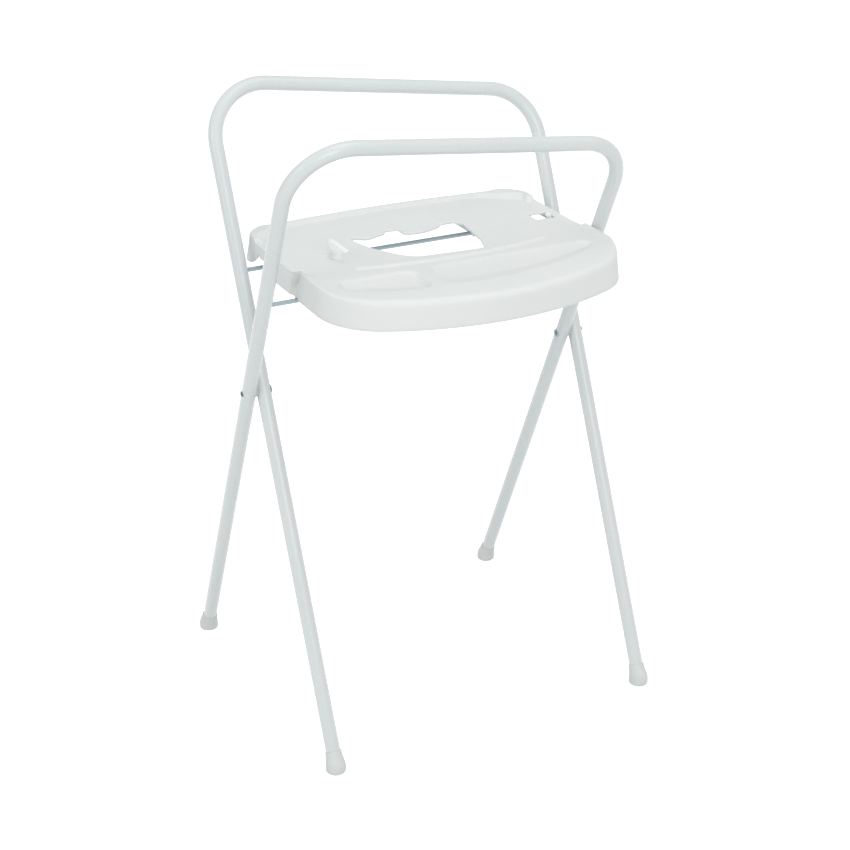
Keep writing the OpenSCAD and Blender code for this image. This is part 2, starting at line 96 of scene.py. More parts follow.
# The two recesses: a bridge between them, a straight rear edge and an arc in front.
BRIDGE_X, BRIDGE_HALF = -79, 12
DISH_REAR, DISH_FAR = -146, 216
DISH_FRONTS, DISH_C = (429.0, 418.0), 184.0
DISH_DEEP, DISH_EDGE = 11, 0.8  # depth in the middle, and at the front edge
DISH_LOW_Y, DISH_CURVE, DISH_RISE = -197, 280, 9.8  # behind this y the floor curves up
DISH_RUN = 48  # the length of the floor's slope at the front

# The side walls: their lower edge, the groove beside the legs, and the gap over the rear rod.
SKIRT = 0.8
SKIRT_STEP, SKIRT_START, SKIRT_L = 20, 2, 30  # between the rods the edge is this much higher
ROD_NOTCH = 4.4
GAP_FRONT, GAP_REAR, GAP_UP = 66.4, 108, 24.5
GROOVE_FRONT, GROOVE_REAR = (-71.4, 0.556), (-53, 0.366)  # y at z 0, and the lean forward
GROOVE_LOW, GROOVE_MORE, GROOVE_SOFT = 3, 9, 1.8
GROOVE_TOP = 34  # the right groove ends at this height
LOWER_ROUND = 0.7
EDGE_SIDE, EDGE_REAR = 1.8, 1.7  # rounding of the top edge, and more at the rear
EDGE_FRONT, EDGE_FRONT_MORE = 2.5, 7.5

# How far the walls lean in at the top (draft), and how far out they stand at the foot (flare).
FRONT_DRAFT, FRONT_FLARE, FRONT_CORNER_DRAFT = 3.5, 2.5, 12
REAR_FLARE, REAR_CORNER_DRAFT, REAR_CORNER_FLARE = 2.5, 11, 9.8

# Under the tray: ribs with a snap bearing on the front rod and an open saddle on the rear one.
RIBS = (-191, -131, 131, 191)
RIB_HALF, RIB_FRONT = 1.5, -144.7
BEARING_R, BEARING_HALF = 7, 8
SNAP = (ROD_R + 0.05, ROD_R - 0.35)  # bore and mouth
SADDLE = (ROD_R + 0.3, ROD_R + 0.3)
LATCH_X, LATCH_Y, LATCH_Z = 245.5, 5, 31.5
BARREL_R, TONGUE_HALF, EAR_HALF, EAR_PLAY = 3.5, 5, 1.5, 0.3

HOOK_X, HOOK_Y = -170.5, -13


# ---------------------------------------------------------------- materials
COAT_ROUGHNESS, SOFT_DEPTH = 0.12, 0.004


def ramp(nodes, stops):
    """A colour ramp with stops given as (position, colour)."""
    node = nodes.new("ShaderNodeValToRGB")
    while len(node.color_ramp.elements) < len(stops):
        node.color_ramp.elements.new(0.5)
    for element, (at, colour) in zip(node.color_ramp.elements, stops):
        element.position = at
        element.color = (*colour, 1)
    return node


def material(name, low, high, rough, grain, bump, patch=14.0, metallic=0.0, coat=0.0,
             specular=0.5, stretch=(1, 1, 1), soft=0.0):
    """A surface whose colour and gloss drift a little, with a fine grain in its bump."""
    mat = bpy.data.materials.new(name)
    mat.use_nodes = True
    nodes, links = mat.node_tree.nodes, mat.node_tree.links
    bsdf = nodes["Principled BSDF"]
    place = nodes.new("ShaderNodeTexCoord")
    scale = nodes.new("ShaderNodeMapping")
    scale.inputs["Scale"].default_value = stretch
    links.new(place.outputs["Object"], scale.inputs["Vector"])
    drift = nodes.new("ShaderNodeTexNoise")
    drift.inputs["Scale"].default_value = patch
    drift.inputs["Detail"].default_value = 3
    links.new(scale.outputs["Vector"], drift.inputs["Vector"])
    tint = ramp(nodes, [(0.3, low), (0.7, high)])
    links.new(drift.outputs["Fac"], tint.inputs["Fac"])
    links.new(tint.outputs["Color"], bsdf.inputs["Base Color"])
    gloss = nodes.new("ShaderNodeMapRange")
    gloss.inputs["To Min"].default_value = rough[0]
    gloss.inputs["To Max"].default_value = rough[1]
    fine = nodes.new("ShaderNodeTexNoise")
    fine.inputs["Scale"].default_value = grain
    fine.inputs["Detail"].default_value = 4
    links.new(scale.outputs["Vector"], fine.inputs["Vector"])
    links.new(fine.outputs["Fac"], gloss.inputs["Value"])
    links.new(gloss.outputs["Result"], bsdf.inputs["Roughness"])
    relief = nodes.new("ShaderNodeBump")
    relief.inputs["Strength"].default_value = bump[0]
    relief.inputs["Distance"].default_value = bump[1]
    links.new(fine.outputs["Fac"], relief.inputs["Height"])
    links.new(relief.outputs["Normal"], bsdf.inputs["Normal"])
    bsdf.inputs["Metallic"].default_value = metallic
    bsdf.inputs["Coat Weight"].default_value = coat
    bsdf.inputs["Coat Roughness"].default_value = COAT_ROUGHNESS
    bsdf.inputs["Specular IOR Level"].default_value = specular
    if soft:
        bsdf.inputs["Subsurface Weight"].default_value = soft
        bsdf.inputs["Subsurface Radius"].default_value = (SOFT_DEPTH, SOFT_DEPTH, SOFT_DEPTH)
        bsdf.inputs["Subsurface Scale"].default_value = 0.5
    return mat


ENAMEL = material("frame_enamel", (0.71, 0.737, 0.737), (0.742, 0.76, 0.757), rough=(0.24, 0.30),
                  grain=600, bump=(0.03, 0.0001), patch=6, coat=0.3)
PLASTIC = material("tray_plastic", (0.80, 0.812, 0.802), (0.83, 0.832, 0.815), rough=(0.50, 0.62),
                   grain=700, bump=(0.06, 0.0002), patch=7, specular=0.35, soft=0.06)
HOOK = material("hook_plastic", (0.975, 0.975, 0.95), (0.99, 0.985, 0.96), rough=(0.22, 0.35),
                grain=800, bump=(0.08, 0.0002), patch=30, soft=0.05)
ZINC = material("rod_zinc", (0.38, 0.47, 0.51), (0.47, 0.55, 0.59), rough=(0.38, 0.55),
                grain=260, bump=(0.15, 0.0002), patch=40, metallic=0.25, stretch=(0.08, 1, 1))
STEEL = material("rivet_steel", (0.10, 0.125, 0.135), (0.19, 0.22, 0.235), rough=(0.32, 0.5),
                 grain=900, bump=(0.2, 0.0002), patch=300, metallic=0.7)
RUBBER = material("foot_rubber", (0.70, 0.725, 0.71), (0.75, 0.765, 0.75), rough=(0.5, 0.68),
                  grain=900, bump=(0.22, 0.0003), patch=45, specular=0.4)
NYLON = material("spacer_nylon", (0.50, 0.53, 0.54), (0.58, 0.61, 0.62), rough=(0.4, 0.6),
                 grain=800, bump=(0.15, 0.0002), patch=120)


# ---------------------------------------------------------------- mesh helpers
def dress(obj, mat):
    """Gives an object one material."""
    obj.data.materials.clear()
    obj.data.materials.append(mat)


def piece(name, verts, faces, mat, body, nodes):
    """Makes a smooth mesh object from points in mm."""
    data = bpy.data.meshes.new(name)
    data.from_pydata([(x * MM, y * MM, z * MM) for x, y, z in verts], [], faces)
    data.validate()
    for poly in data.polygons:
        poly.use_smooth = True
    obj = bpy.data.objects.new(name, data)
    scene.collection.objects.link(obj)
    dress(obj, mat)
    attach(obj, body)
    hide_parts(*nodes)
    return obj


class Shape:
    """Collects rows of points and faces between them."""

    def __init__(self):
        self.verts, self.faces = [], []

    def row(self, points):
        start = len(self.verts)
        self.verts.extend(tuple(p) for p in points)
        return list(range(start, start + len(points)))

    def band(self, a, b, flip=False):
        for i in range(len(a)):
            j = (i + 1) % len(a)
            face = (a[i], a[j], b[j], b[i])
            self.faces.append(face[::-1] if flip else face)

    def cap(self, row, flip=False):
        self.faces.append(tuple(row[::-1]) if flip else tuple(row))

    def add(self, other):
        base = len(self.verts)
        self.verts += other.verts
        self.faces += [tuple(i + base for i in face) for face in other.faces]


def lathe(profile, steps):
    """Turns (radius, height) points about +Z; a radius of 0 closes the end."""
    shape = Shape()
    rows = []
    for r, z in profile:
        if r < SAME:
            rows.append(shape.row([(0, 0, z)]) * steps)
        else:
            turns = [2 * math.pi * i / steps for i in range(steps)]
            rows.append(shape.row([(r * math.cos(a), r * math.sin(a), z) for a in turns]))
    for a, b in zip(rows, rows[1:]):
        for i in range(steps):
            j = (i + 1) % steps
            face = []
            for v in (a[i], a[j], b[j], b[i]):
                if v not in face:
                    face.append(v)
            if len(face) > 2:
                shape.faces.append(tuple(face))
    return shape


def moved(shape, matrix):
    return [tuple(matrix @ Vector(v)) for v in shape.verts]


def sharp_by_angle(obj, degrees):
    """Keeps edges sharper than an angle crisp in the smooth shading."""
    bm = bmesh.new()
    bm.from_mesh(obj.data)
    bmesh.ops.recalc_face_normals(bm, faces=bm.faces)
    limit = math.radians(degrees)
    for edge in bm.edges:
        if len(edge.link_faces) == 2 and edge.calc_face_angle(0) > limit:
            edge.smooth = False
    bm.to_mesh(obj.data)
    bm.free()


# ---------------------------------------------------------------- tube frames
def stand_up(side):
    """Stands a frame's plane up; side is 1 where its handle leans to the rear, or -1."""
    return (Matrix.Translation((side * CROSS_X, PIVOT_Y, PIVOT_H))
            @ Matrix.Rotation(-side * TILT, 4, "X") @ Matrix.Rotation(math.pi / 2, 4, "X"))


def tube_path():
    """Points of a bent tube's centre line in its own plane, from the left foot to the right."""
    left_l = ARM_LEFT - BEND_R * math.tan((math.pi / 2 + SLOPE) / 2)
    arm_right = ARM_LEFT - FRAME_W * math.tan(SLOPE)
    right_l = arm_right - BEND_R * math.tan((math.pi / 2 - SLOPE) / 2)
    bar_l = math.hypot(FRAME_W - 2 * BEND_R, right_l - left_l)
    path = []

    def run(a, b, n):
        for i in range(n):
            path.append(a + (b - a) * (i / n))

    foot = TUBE_END - LEG_L
    c1 = Vector((BEND_R - FRAME_W / 2, left_l))
    along = Vector((math.cos(SLOPE), -math.sin(SLOPE)))
    c2 = c1 + along * bar_l
    run(Vector((-FRAME_W / 2, foot)), Vector((-FRAME_W / 2, left_l)), LEG_STEPS)
    for i in range(BEND_STEPS):
        a = math.pi - (math.pi / 2 + SLOPE) * i / BEND_STEPS
        path.append(c1 + BEND_R * Vector((math.cos(a), math.sin(a))))
    up = Vector((math.sin(SLOPE), math.cos(SLOPE)))
    run(c1 + BEND_R * up, c2 + BEND_R * up, BAR_STEPS)
    for i in range(BEND_STEPS):
        a = math.pi / 2 - SLOPE - (math.pi / 2 - SLOPE) * i / BEND_STEPS
        path.append(c2 + BEND_R * Vector((math.cos(a), math.sin(a))))
    run(Vector((FRAME_W / 2, right_l)), Vector((FRAME_W / 2, foot)), LEG_STEPS)
    path.append(Vector((FRAME_W / 2, foot)))
    return path


def tube_frame(name, side, body, node):
    """A bent tube with both ends closed, from foot to foot over its handle."""
    path = tube_path()
    shape = Shape()
    rows = []
    matrix = stand_up(side)
    ends = (0, len(path) - 1)
    narrow = TUBE_R - END_ROUND
    for i, p in enumerate(path):
        ahead = path[min(i + 1, len(path) - 1)] - path[max(i - 1, 0)]
        ahead.normalize()
        out = Vector((-ahead.y, ahead.x))
        for r in ([narrow, TUBE_R] if i == ends[0] else
                  [TUBE_R, narrow] if i == ends[1] else [TUBE_R]):
            shift = END_ROUND if i in ends and r == TUBE_R else 0
            q = p + ahead * (shift if i == 0 else -shift)
            ring = []
            for k in range(ROUND_STEPS):
                a = 2 * math.pi * k / ROUND_STEPS
                ring.append(matrix @ Vector((q.x + out.x * r * math.cos(a),
                                             q.y + out.y * r * math.cos(a), r * math.sin(a))))
            rows.append(shape.row(ring))
    for a, b in zip(rows, rows[1:]):
        shape.band(a, b, flip=True)
    shape.cap(rows[0])
    shape.cap(rows[-1], flip=True)
    obj = piece(name, shape.verts, shape.faces, ENAMEL, body, [node])
    sharp_by_angle(obj, 50)


# ---------------------------------------------------------------- plan loops
def without_repeats(points):
    """Leaves out each point that lies on the one before it."""
    clean = []
    for p in points:
        if not clean or math.dist(p, clean[-1]) > SAME:
            clean.append(p)
    return clean


def tray_outline(step=4.0):
    """Points of the tray's plan, anticlockwise from the right rear corner."""
    pts = []

    def arc(cx, cy, r, a0, a1):
        n = max(2, round(abs(a1 - a0) * r / step))
        for i in range(n):
            a = a0 + (a1 - a0) * i / n
            pts.append((cx + r * math.cos(a), cy + r * math.sin(a)))

    # The sides have closer points at the hooked gap, the groove and the front rod's notch.
    close = [66.3, 66.5, 67.2, 68.5]
    for y0, y1, n in ((50, 66, 9), (70, 114, 23), (-104, -50, 41)):
        close += list(np.linspace(y0, y1, n))
    close += list(ROD_NOTCH * np.cos(np.linspace(0, math.pi, 9)) - round(ROD_Y, 1))

    def side(s, y0, y1):
        ys = list(np.linspace(y0, y1, max(2, round(abs(y1 - y0) / step)), endpoint=False)) + close
        ys = {round(y, 3) for y in ys if min(y0, y1) <= y <= max(y0, y1)}
        pts.extend((s * HALF_W, y) for y in sorted(ys, reverse=y1 < y0))

    half = math.pi / 2
    arc(HALF_W - REAR_CORNER, REAR_SIDE, REAR_CORNER, 0, half - REAR_A)
    arc(0, REAR_C, REAR_R, half - REAR_A, half + REAR_A)
    arc(REAR_CORNER - HALF_W, REAR_SIDE, REAR_CORNER, half + REAR_A, math.pi)
    side(-1, REAR_SIDE, FRONT_SIDE)
    arc(FRONT_CORNER - HALF_W, FRONT_SIDE, FRONT_CORNER, math.pi, 1.5 * math.pi - FRONT_A)
    arc(0, FRONT_C, FRONT_R, 1.5 * math.pi - FRONT_A, 1.5 * math.pi + FRONT_A)
    arc(HALF_W - FRONT_CORNER, FRONT_SIDE, FRONT_CORNER, 1.5 * math.pi + FRONT_A, 2 * math.pi)
    side(1, FRONT_SIDE, REAR_SIDE)
    return without_repeats(pts)


def normals_of(loop):
    """Inward normals of an anticlockwise loop."""
    n = len(loop)
    out = []
    for i in range(n):
        a, b = np.array(loop[i - 1]), np.array(loop[i])
        c = np.array(loop[(i + 1) % n])
        u, v = (b - a), (c - b)
        t = u / np.linalg.norm(u) + v / np.linalg.norm(v)
        t = t / np.linalg.norm(t)
        out.append((-t[1], t[0]))
    return out


def softened(path, turn=8):
    """Rounds a path's corners, given as (x, y, radius)."""
    out = []
    n = len(path)
    for i in range(n):
        p = np.array(path[i][:2], float)
        a = np.array(path[i - 1][:2], float)
        b = np.array(path[(i + 1) % n][:2], float)
        u = (a - p) / np.linalg.norm(a - p)
        v = (b - p) / np.linalg.norm(b - p)
        half = math.acos(max(-1, min(1, float(u @ v)))) / 2
        r = path[i][2]
        mid = (u + v) / np.linalg.norm(u + v) * r / math.sin(half)
        start, end = u * r / math.tan(half) - mid, v * r / math.tan(half) - mid
        k = max(1, round(math.degrees(math.pi - 2 * half) / turn))
        for j in range(k + 1):
            q = start + (end - start) * j / k
            out.append(tuple(p + mid + q / np.linalg.norm(q) * r))
    return out


def resampled(loop, step):
    """A closed loop with no edge longer than a step."""
    out = []
    for i, p in enumerate(loop):
        q = loop[(i + 1) % len(loop)]
        n = max(1, math.ceil(math.dist(p, q) / step))
        out += [(p[0] + (q[0] - p[0]) * k / n, p[1] + (q[1] - p[1]) * k / n) for k in range(n)]
    return without_repeats(out)


def twice_area(loop):
    """Twice a loop's area, below 0 where it runs clockwise."""
    return sum(a[0] * b[1] - a[1] * b[0] for a, b in zip(loop, loop[1:] + loop[:1]))


def signed(points, loop, chunk=4000):
    """Distance from each point to a loop, positive inside it."""
    loop = np.array(loop, float)
    a, b = loop, np.roll(loop, -1, 0)
    ab = b - a
    ab2 = (ab ** 2).sum(1)
    out = np.empty(len(points))
    for s in range(0, len(points), chunk):
        p = points[s:s + chunk, None, :]
        t = np.clip(((p - a) * ab).sum(2) / ab2, 0, 1)
        d = np.sqrt((((a + ab * t[..., None]) - p) ** 2).sum(2)).min(1)
        x, y = p[..., 0], p[..., 1]
        cross = (a[:, 1] > y) != (b[:, 1] > y)
        dy = np.where(ab[:, 1] == 0, TINY, ab[:, 1])
        hit = cross & (x < a[:, 0] + ab[:, 0] * (y - a[:, 1]) / dy)
        inside = hit.sum(1) % 2 == 1
        out[s:s + chunk] = np.where(inside, d, -d)
    return out


def ease(t):
    """Goes smoothly from 0 to 1 as t does."""
    t = np.clip(t, 0, 1)
    return t * t * (3 - 2 * t)


def dish_loop(side):
    """Outline of the left (-1) or right (1) recess."""
    inner = BRIDGE_X + side * BRIDGE_HALF
    far = side * DISH_FAR
    front = DISH_FRONTS[side > 0]
    turns = [far * k for k in ((0.84, 0.68, 0.5, 0.3, 0.08) if side > 0 else (0.86, 0.74, 0.62))]

    def at(x):
        return DISH_C - math.sqrt(front * front - x * x)

    path = [(inner, DISH_REAR, 22), (far, DISH_REAR, 16), (far, at(far), 10)]
    path += [(x, at(x), 40) for x in turns]
    path += [(inner, at(inner), 24)]
    return softened(path)


OUTER = tray_outline()
# Height of the hooked gap as a share of GAP_UP, along y.
HOOK_EDGE = ([GAP_FRONT, 67.4, 70, 73, 80, 91.6, 102.8, GAP_REAR],
             [0.9, 1.0, 0.97, 0.85, 0.62, 0.28, 0.06, 0])
DISHES = [dish_loop(-1), dish_loop(1)]
# Corners as (x, y, radius): the drain opening, the latch's window, the thicker plate round the
# opening, and the shallow pocket beside the hook.
OPENING = softened([
    (-107, 38, 4), (-97, -10, 60), (-86, -42, 60), (-73, -78, 60), (-55, -96, 14),
    (0, -102, 200), (57, -106, 10),
    (75, -58, 50), (85, -8, 60), (91, 32, 12), (81, 48, 5), (57, 47, 14), (19, 32, 50),
    (-14, 37, 3), (-17, 55, 4), (-39, 56, 4), (-45, 46, 5), (-81, 32, 12), (-100, 46, 4)])
WINDOW = softened([(208, -11, 2.5), (242, -11, 2.5), (242, 21, 2.5), (208, 21, 2.5)])
COLLAR = softened([(-117, -114, 10), (103, -114, 10), (103, 68, 16), (-117, 68, 16)])
POCKET = softened([(-180, -38, 2), (-170.6, -38, 2), (-170.6, -14, 2), (-180, -14, 2)])
HOLES = ((OPENING, 1.6, COLLAR_T), (WINDOW, 1.0, WALL))  # loop, rounding of its rim, depth


# ---------------------------------------------------------------- tray surface
def top_height(p):
    """Height of the tray's upper face at points in plan."""
    x, y = p[:, 0], p[:, 1]
    h = PLATE + LAND * ease((RAMP_START - y) / RAMP_L)
    # The rear lip, with a pad in each corner that is cut off along a straight edge.
    edge = signed(p, OUTER)
    rise = PAD_Y - PAD_NEAR
    chord = ((np.abs(x) - PAD_X) * rise + (y - PAD_Y) * PAD_SPAN) / np.hypot(PAD_SPAN, rise)
    lip = np.maximum(ease((LIP_W - edge + LIP_SOFT / 2) / LIP_SOFT), ease((chord - 2) / PAD_SOFT))
    lip = lip * ease((y - PAD_NEAR + 8) / 8)
    h = h + (LIP + LIP_CORNER * ease((np.abs(x) - 190) / 40)) * lip
    # The sides stand a little proud, most of all beside the land.
    side = PLATE + RIM + RIM_FRONT * ease((RIM_START - y) / RIM_L)
    h = h + np.maximum(side - h, 0) * ease((10 - edge) / 8) * ease((y + 235) / 70) * (1 - lip)
    # Recesses with floors that curve up to the front and rear, and soft walls.
    back = DISH_DEEP - np.minimum(np.maximum(y - DISH_LOW_Y, 0) ** 2 / DISH_CURVE, DISH_RISE)
    for loop, front in zip(DISHES, DISH_FRONTS):
        away = np.clip((front - np.hypot(x, y - DISH_C)) / DISH_RUN, 0, 1)
        floor = np.minimum(back, DISH_EDGE + (DISH_DEEP - DISH_EDGE) * (1 - (1 - away) ** 2))
        h = h - floor * ease((signed(p, loop) + 2.5) / 7)
    # The bead behind the land bows to the front.
    bow = BEAD_Y - BEAD_BOW * (1 - np.minimum(x / BEAD_HALF, 1) ** 2)
    bead = np.hypot(np.maximum(np.abs(x + BEAD_X) - BEAD_HALF, 0), y - bow)
    h = h + BEAD_H * np.cos(np.pi / 2 * np.clip(bead / BEAD_R, 0, 1)) ** 2
    # A shallow chute that leads to the opening's rear edge.
    chute = ease((CHUTE_HALF - np.abs(x - CHUTE_X)) / 7) * ease((118 - y) / 70)
    h = h - CHUTE_DEPTH * (chute * ease((y + 20) / 30))
    return h - POCKET_DEPTH * ease((signed(p, POCKET) + 0.6) / 1.6)


def groove(x, y, z):
    """Depth of the side groove, which leans with the leg beside it."""
    if abs(x) < HALF_W - 1:
        return 0.0
    front, rear = (y0 - lean * z for y0, lean in (GROOVE_FRONT, GROOVE_REAR))
    open_share = 1.0 if x < 0 else float(ease((GROOVE_TOP - z) / 8))
    depth = (GROOVE_LOW + GROOVE_MORE * float(ease(z / 30))) * open_share
    return depth * float(ease(min((rear - y) / GROOVE_SOFT, (y - front) / GROOVE_SOFT)))


def slope_out(n, z, top):
    """How far the drafted wall lies inside the outline at a height; n points inward."""
    level = z / top
    corner = abs(n[0] * n[1])
    if n[1] > 0:
        return n[1] ** 4 * (FRONT_DRAFT * level - FRONT_FLARE) + FRONT_CORNER_DRAFT * corner * level
    # The rear flares at the left only: at the right a handle folds down beside it.
    flare = (1 - level) * float(ease((n[0] + 0.1) / 0.2))
    return (n[1] ** 4 * (level - REAR_FLARE * flare)
            + corner * (REAR_CORNER_DRAFT * level - REAR_CORNER_FLARE * flare))


def edge_radius(y, n):
    """Rounding of the top edge: wide along the front, small at the sides."""
    front = float(ease((-56 - y) / 30))
    rear = float(ease((y - 84) / 8))
    wide = EDGE_FRONT + EDGE_FRONT_MORE * abs(n[1]) ** 1.2
    return wide * front + EDGE_SIDE * (1 - front) + EDGE_REAR * rear


def lower_edge(x, y):
    """Height of the side walls' lower edge, with the notch and the gap for the rods."""
    if abs(x) < HALF_W - 12:
        return SKIRT
    if abs(y + ROD_Y) < ROD_NOTCH:
        return max(SKIRT, math.sqrt(ROD_NOTCH ** 2 - (y + ROD_Y) ** 2))
    if y < GAP_FRONT:
        return SKIRT + SKIRT_STEP * float(ease((y - SKIRT_START) / SKIRT_L))
    if y < GAP_REAR:
        return SKIRT + GAP_UP * float(np.interp(y, *HOOK_EDGE))
    return SKIRT


def quad_points(height, coarse=12.0, levels=4, limit=0.05):
    """Corner points of a grid that is finer where the height bends."""
    xs = np.arange(-HALF_W, HALF_W + coarse, coarse)
    ys = np.arange(-300, 170, coarse)
    cells = np.array([(x, y) for x in xs for y in ys])
    size = coarse
    points = set()
    for level in range(levels + 1):
        offs = np.array([(0, 0), (1, 0), (1, 1), (0, 1), (.5, .5), (.5, 0), (0, .5)]) * size
        grid = (cells[:, None, :] + offs[None]).reshape(-1, 2)
        h = height(grid).reshape(-1, 7)
        mean = h[:, :4].mean(1)
        error = np.maximum.reduce([abs(h[:, 4] - mean), abs(h[:, 5] - h[:, :2].mean(1)),
                                   abs(h[:, 6] - h[:, [0, 3]].mean(1))])
        split = error > limit
        if level == levels:
            split[:] = False
        for cell in cells[~split]:
            for ox, oy in ((0, 0), (size, 0), (size, size), (0, size)):
                points.add((round(cell[0] + ox, 3), round(cell[1] + oy, 3)))
        cells = cells[split]
        if not len(cells):
            break
        size /= 2
        cells = np.concatenate([cells + np.array(o) * size for o in
                                ((0, 0), (1, 0), (0, 1), (1, 1))])
    return np.array(sorted(points))


def tray_edge(shape):
    """The rounded edge and the walls, outside and inside.

    Returns the loop where the edge meets the plate, and its points above and below."""
    outer = OUTER
    inward = normals_of(outer)
    radii = [edge_radius(p[1], n) for p, n in zip(outer, inward)]
    first = top_height(np.array([(p[0] + n[0] * r, p[1] + n[1] * r)
                                 for p, n, r in zip(outer, inward, radii)]))
    rim = []
    for p, n, r, h in zip(outer, inward, radii, first):
        d = r + groove(*p, h) + slope_out(n, h, h)
        rim.append((p[0] + n[0] * d, p[1] + n[1] * d))
    rim_h = top_height(np.array(rim))
    low = [lower_edge(*p) for p in outer]

    def wall_point(i, inset, z):
        p, n = outer[i], inward[i]
        d = inset + groove(*p, z) + slope_out(n, z, rim_h[i])
        return (p[0] + n[0] * d, p[1] + n[1] * d, z)

    def strip(offset, flip):
        """The rounded edge and the wall, a distance inside the outer face."""
        rows = []
        for k in range(9):
            a = math.pi / 2 * (1 - k / 8)
            rows.append([wall_point(i, r - (r - offset) * math.cos(a),
                                    h - r + (r - offset) * math.sin(a))
                         for i, (r, h) in enumerate(zip(radii, rim_h))])
        for k in (0.17, 0.34, 0.5, 0.67, 0.84, 1):
            rows.append([wall_point(i, offset, (h - r) * (1 - k) + (b + LOWER_ROUND) * k)
                         for i, (r, h, b) in enumerate(zip(radii, rim_h, low))])
        ids = [shape.row(r) for r in rows]
        for a, b in zip(ids, ids[1:]):
            shape.band(a, b, flip=flip)
        return ids[0], ids[-1]

    top_row, out_low = strip(0, True)
    under_row, in_low = strip(WALL, False)
    lip = []
    for off, up in ((0.25, 0.18), (WALL / 2, 0), (WALL - 0.25, 0.18)):
        lip.append(shape.row([wall_point(i, off, b + up) for i, b in enumerate(low)]))
    for a, b in zip([out_low] + lip, lip + [in_low]):
        shape.band(a, b, flip=True)
    return rim, top_row, under_row


def hole_rim(shape, loop, r, depth):
    """Rows of a hole's rim, rounded above and below; the first lies on a wider ring."""
    loop = resampled(loop, 3.0)
    out = [(-n[0], -n[1]) for n in normals_of(loop)]
    if signed(np.array([[loop[0][0] + out[0][0], loop[0][1] + out[0][1]]]), loop)[0] > 0:
        out = [(-a, -b) for a, b in out]
    ring = [(p[0] + n[0] * r, p[1] + n[1] * r) for p, n in zip(loop, out)]
    top = top_height(np.array(ring))

    def row(away, down):
        return shape.row([(p[0] + n[0] * away, p[1] + n[1] * away, h - down)
                          for p, n, h in zip(loop, out, top)])

    ids = []
    for k in range(6):
        a = math.pi / 2 * k / 5
        ids.append(row(r * (1 - math.sin(a)), r * (1 - math.cos(a))))
    ids += [row(0, depth - 0.6), row(0.5, depth), row(r, depth)]
    return ring, ids


def plate_faces(shape, loops, rows_up, rows_low):
    """Fills the upper face and the under face between the edge's loop and the holes' rings."""
    rim, rings = loops[0], loops[1:]
    pts = quad_points(top_height)
    keep = signed(pts, rim) > RIM_CLEAR
    for ring in rings:
        keep &= signed(pts, ring) < -RING_CLEAR
    verts = [Vector(p) for loop in loops for p in loop]
    edges, start = [], 0
    for loop in loops:
        n = len(loop)
        edges += [(start + i, start + (i + 1) % n) for i in range(n)]
        start += n
    fixed = len(verts)
    verts += [Vector((float(x), float(y))) for x, y in pts[keep]]
    out_v, _, out_f, from_v, _, _ = delaunay_2d_cdt(verts, edges, [], 0, TINY)
    coords = np.array([(v.x, v.y) for v in out_v])
    tris = np.array([f for f in out_f if len(f) == 3])
    mid = coords[tris].mean(1)
    good = signed(mid, rim) > 0
    for ring in rings:
        good &= signed(mid, ring) < 0
    a, b, c = (coords[tris[:, k]] for k in range(3))
    area = np.cross(b - a, c - a)
    good &= abs(area) > TINY
    tris = np.where((area > 0)[:, None], tris, tris[:, ::-1])[good]
    height = top_height(coords)
    thick = WALL + (COLLAR_T - WALL) * ease((signed(coords, COLLAR) + 1) / 2)
    up_ids, low_ids = {}, {}
    for i, origin in enumerate(from_v):
        on_loop = [k for k in origin if k < fixed]
        if on_loop:
            up_ids[i], low_ids[i] = rows_up[on_loop[0]], rows_low[on_loop[0]]
        else:
            up_ids[i] = shape.row([(*coords[i], height[i])])[0]
            low_ids[i] = shape.row([(*coords[i], height[i] - thick[i])])[0]
    for a, b, c in tris:
        shape.faces.append((up_ids[a], up_ids[b], up_ids[c]))
        shape.faces.append((low_ids[c], low_ids[b], low_ids[a]))


def tray_shell():
    shape = Shape()
    rim, top_row, under_row = tray_edge(shape)
    holes = [hole_rim(shape, *hole) for hole in HOLES]
    plate_faces(shape, [rim] + [ring for ring, _ in holes],
                top_row + [i for _, ids in holes for i in ids[0]],
                under_row + [i for _, ids in holes for i in ids[-1]])
    for ring, ids in holes:
        for a, b in zip(ids, ids[1:]):
            shape.band(a, b, flip=twice_area(ring) < 0)
    return shape


# ---------------------------------------------------------------- under the tray
def extruded(profile, x0, x1):
    """A (y, z) profile drawn along X."""
    shape = Shape()
    a = shape.row([(x0, y, z) for y, z in profile])
    b = shape.row([(x1, y, z) for y, z in profile])
    shape.band(a, b)
    shape.cap(a)
    shape.cap(b, flip=True)
    return shape


def bearing_profile(y0, inner, mouth):
    """A bearing round a rod, open below."""
    pts = []
    for r, n, way in ((BEARING_R, 28, 1), (inner, 24, -1)):
        start = math.asin(min(1, mouth / r) if way > 0 else min(0.98, mouth / r))
        for i in range(n + 1):
            share = i / n if way > 0 else 1 - i / n
            a = -math.pi / 2 + start + (2 * math.pi - 2 * start) * share
            pts.append((y0 + r * math.cos(a), r * math.sin(a)))
    return pts


def rib_profile(rear):
    """A rib from the front to a rear end, cut out round both rods."""
    top = PLATE - WALL / 2
    pts = [(RIB_FRONT, SKIRT)]
    for y0, (inner, mouth) in ((-ROD_Y, SNAP), (ROD_Y, SADDLE)):
        start = math.asin(min(1, mouth / inner))
        pts.append((y0 - mouth, SKIRT))
        for i in range(17):
            a = -math.pi / 2 - start - (2 * math.pi - 2 * start) * i / 16
            z = inner * math.sin(a)
            if z > SKIRT:
                pts.append((y0 + inner * math.cos(a), z))
        pts.append((y0 + mouth, SKIRT))
    return pts + [(rear + 3, SKIRT), (rear, top), (RIB_FRONT, top)]


